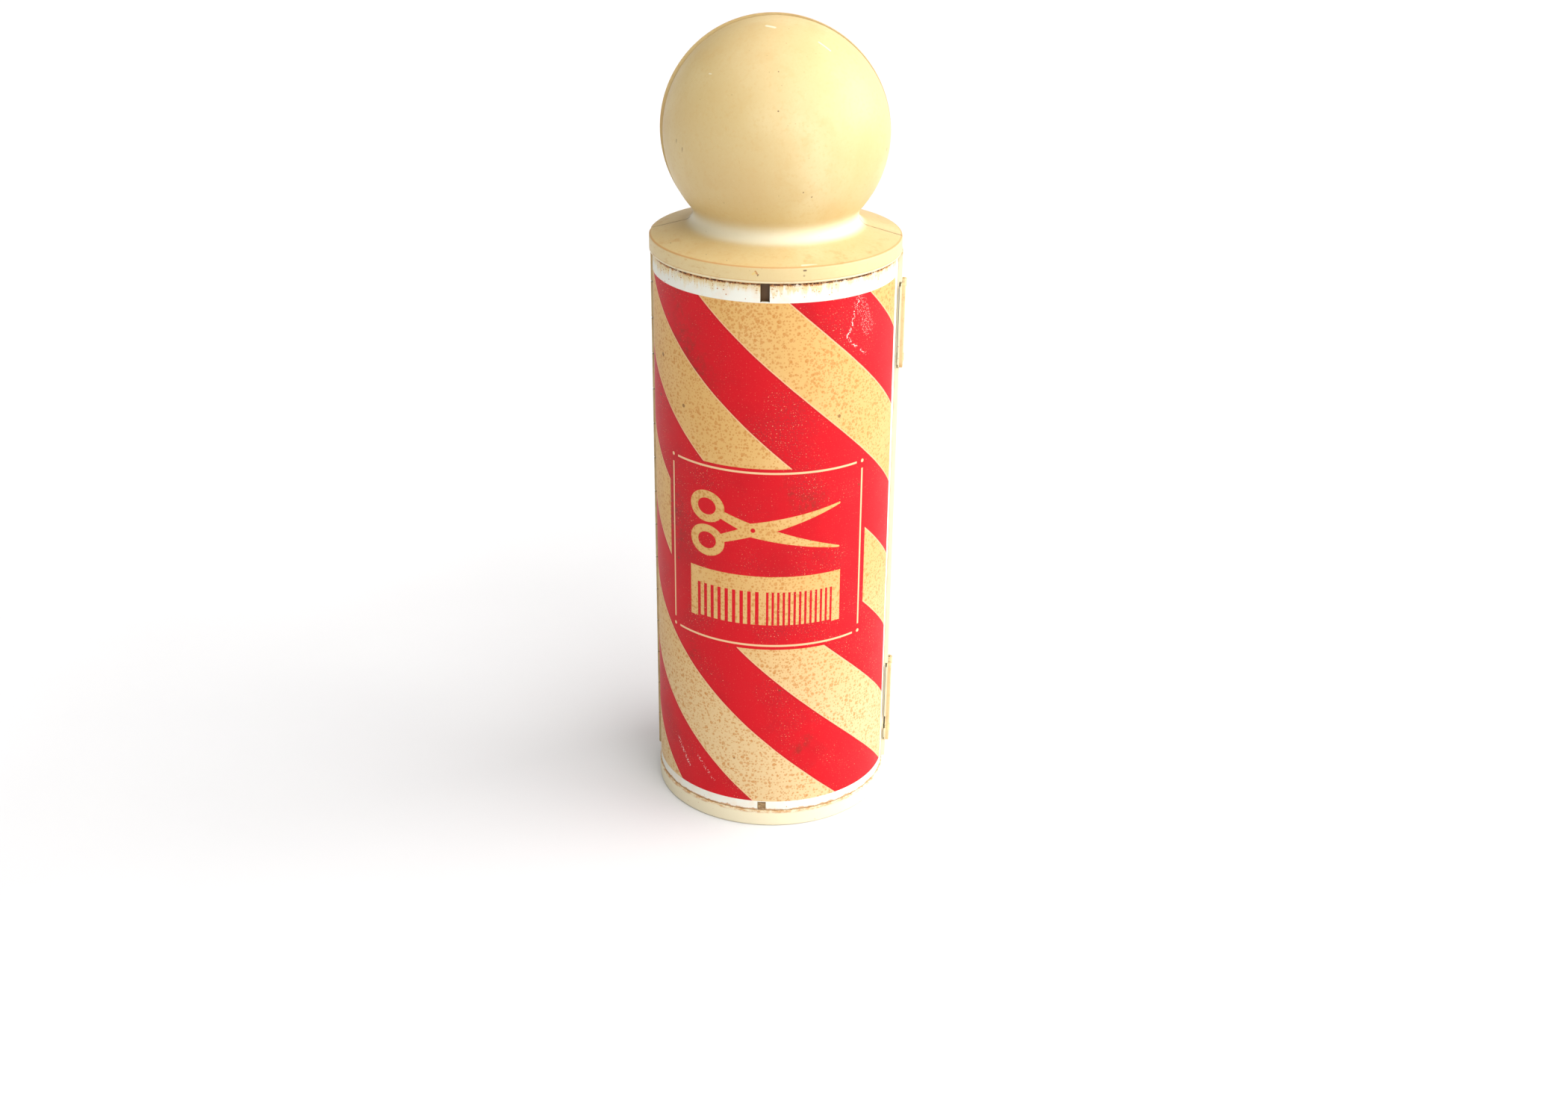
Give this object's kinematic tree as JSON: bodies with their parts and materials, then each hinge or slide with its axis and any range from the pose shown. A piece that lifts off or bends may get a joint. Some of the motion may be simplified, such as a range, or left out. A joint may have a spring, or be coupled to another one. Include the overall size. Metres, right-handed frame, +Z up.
{
  "type": "barber pole storage case",
  "caption": "Round upright storage case shaped like a barber pole, with a ball top, striped tin wraps, and a hinged front half held by side latches over moulded trays.",
  "frame": {"origin": "centre of the round base, on the floor, on the axis of the pole and in the plane where the two halves meet", "axes": "+Z up along the pole; -Y towards the front half that carries the panel; -X towards the hinge and +X towards the latches"},
  "size_m": [0.0972, 0.095, 0.3124],
  "materials": {
    "aged_ivory_plastic": "satin, yellowed with age",
    "printed_tin": "glossy litho print in red, tan and white, with rust at the edges",
    "hinge_steel": "satin, aged",
    "fastener_steel": "dull",
    "tray_plastic": "matte, moulded"
  },
  "bodies": {
    "rear_case": {"rear_shell": "aged_ivory_plastic", "rear_wrap": "printed_tin", "hinge_leaf_rear": "hinge_steel", "hinge_pin": "fastener_steel", "hinge_rivet_rear_1": "fastener_steel", "hinge_rivet_rear_2": "fastener_steel", "hinge_rivet_rear_3": "fastener_steel", "hinge_rivet_rear_4": "fastener_steel", "clipper_tray": "tray_plastic", "tray_screw_rear_1": "fastener_steel", "tray_screw_rear_2": "fastener_steel", "tray_screw_rear_3": "fastener_steel", "tray_screw_rear_4": "fastener_steel", "latch_pin_upper": "fastener_steel", "latch_pin_lower": "fastener_steel"},
    "front_case": {"front_shell": "aged_ivory_plastic", "front_wrap": "printed_tin", "hinge_leaf_front": "hinge_steel", "hinge_rivet_front_1": "fastener_steel", "hinge_rivet_front_2": "fastener_steel", "hinge_rivet_front_3": "fastener_steel", "hinge_rivet_front_4": "fastener_steel", "accessory_tray": "tray_plastic", "tray_screw_front_1": "fastener_steel", "tray_screw_front_2": "fastener_steel", "tray_screw_front_3": "fastener_steel", "tray_screw_front_4": "fastener_steel"},
    "latch_upper": {"latch_plate_upper": "aged_ivory_plastic"},
    "latch_lower": {"latch_plate_lower": "aged_ivory_plastic"}
  },
  "joints": [
    {"name": "case_hinge", "type": "hinge", "parent": "rear_case", "child": "front_case", "pos_m": [-0.0463, 0, 0], "axis": [0, 0, -1], "range_deg": [0, 120]},
    {"name": "latch_upper_hinge", "type": "hinge", "parent": "rear_case", "child": "latch_upper", "pos_m": [0.0481, 0.005, 0.198], "axis": [0, 0, 1], "range_deg": [0, 100]},
    {"name": "latch_lower_hinge", "type": "hinge", "parent": "rear_case", "child": "latch_lower", "pos_m": [0.0481, 0.005, 0.035], "axis": [0, 0, 1], "range_deg": [0, 100]}
  ]
}
